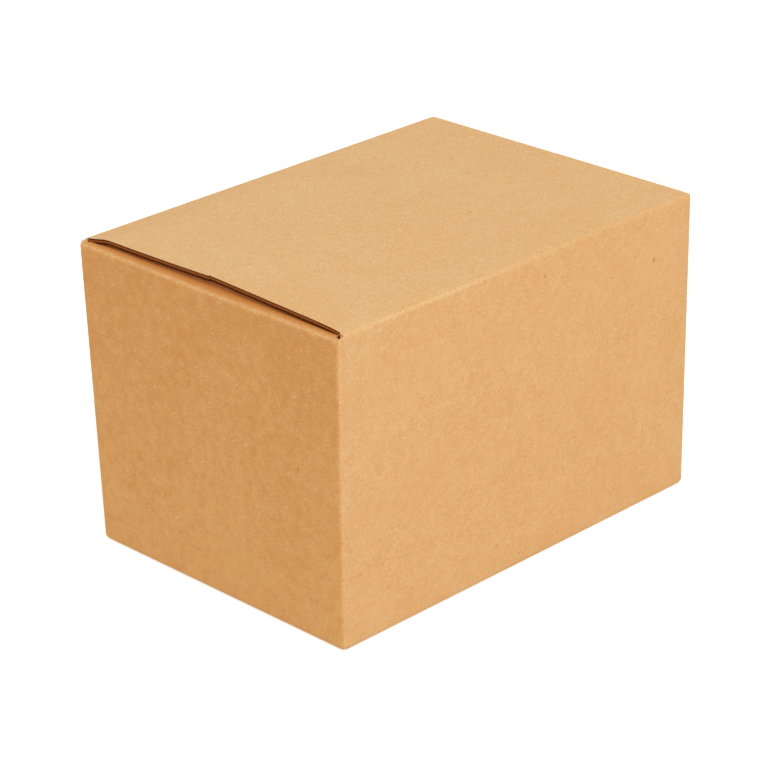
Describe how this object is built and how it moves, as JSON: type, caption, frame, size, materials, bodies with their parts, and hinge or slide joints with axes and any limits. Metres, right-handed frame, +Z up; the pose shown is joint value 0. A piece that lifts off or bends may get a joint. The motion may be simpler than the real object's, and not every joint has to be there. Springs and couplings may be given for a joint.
{
  "type": "closed cardboard box",
  "caption": "Closed corrugated shipping carton with walls, bottom flaps and inner top flaps folded from one blank, and hinged outer top flaps.",
  "frame": {"origin": "on the floor, below the middle of the carton", "axes": "+X across the width, +Y along the length, +Z up"},
  "size_m": [0.225, 0.306, 0.2058],
  "materials": {
    "kraft_board": "matt kraft liner on corrugated board",
    "kraft_flap_left": "matt kraft liner on corrugated board",
    "kraft_flap_right": "matt kraft liner on corrugated board"
  },
  "bodies": {
    "carton": {"carton": "kraft_board"},
    "top_flap_left": {"top_flap_left": "kraft_flap_left"},
    "top_flap_right": {"top_flap_right": "kraft_flap_right"}
  },
  "joints": [
    {"name": "left_flap_crease", "type": "hinge", "parent": "carton", "child": "top_flap_left", "pos_m": [-0.1118, 0, 0.1993], "axis": [0, -1, 0], "range_deg": [0, 230]},
    {"name": "right_flap_crease", "type": "hinge", "parent": "carton", "child": "top_flap_right", "pos_m": [0.1118, 0, 0.1993], "axis": [0, 1, 0], "range_deg": [0, 230]}
  ]
}
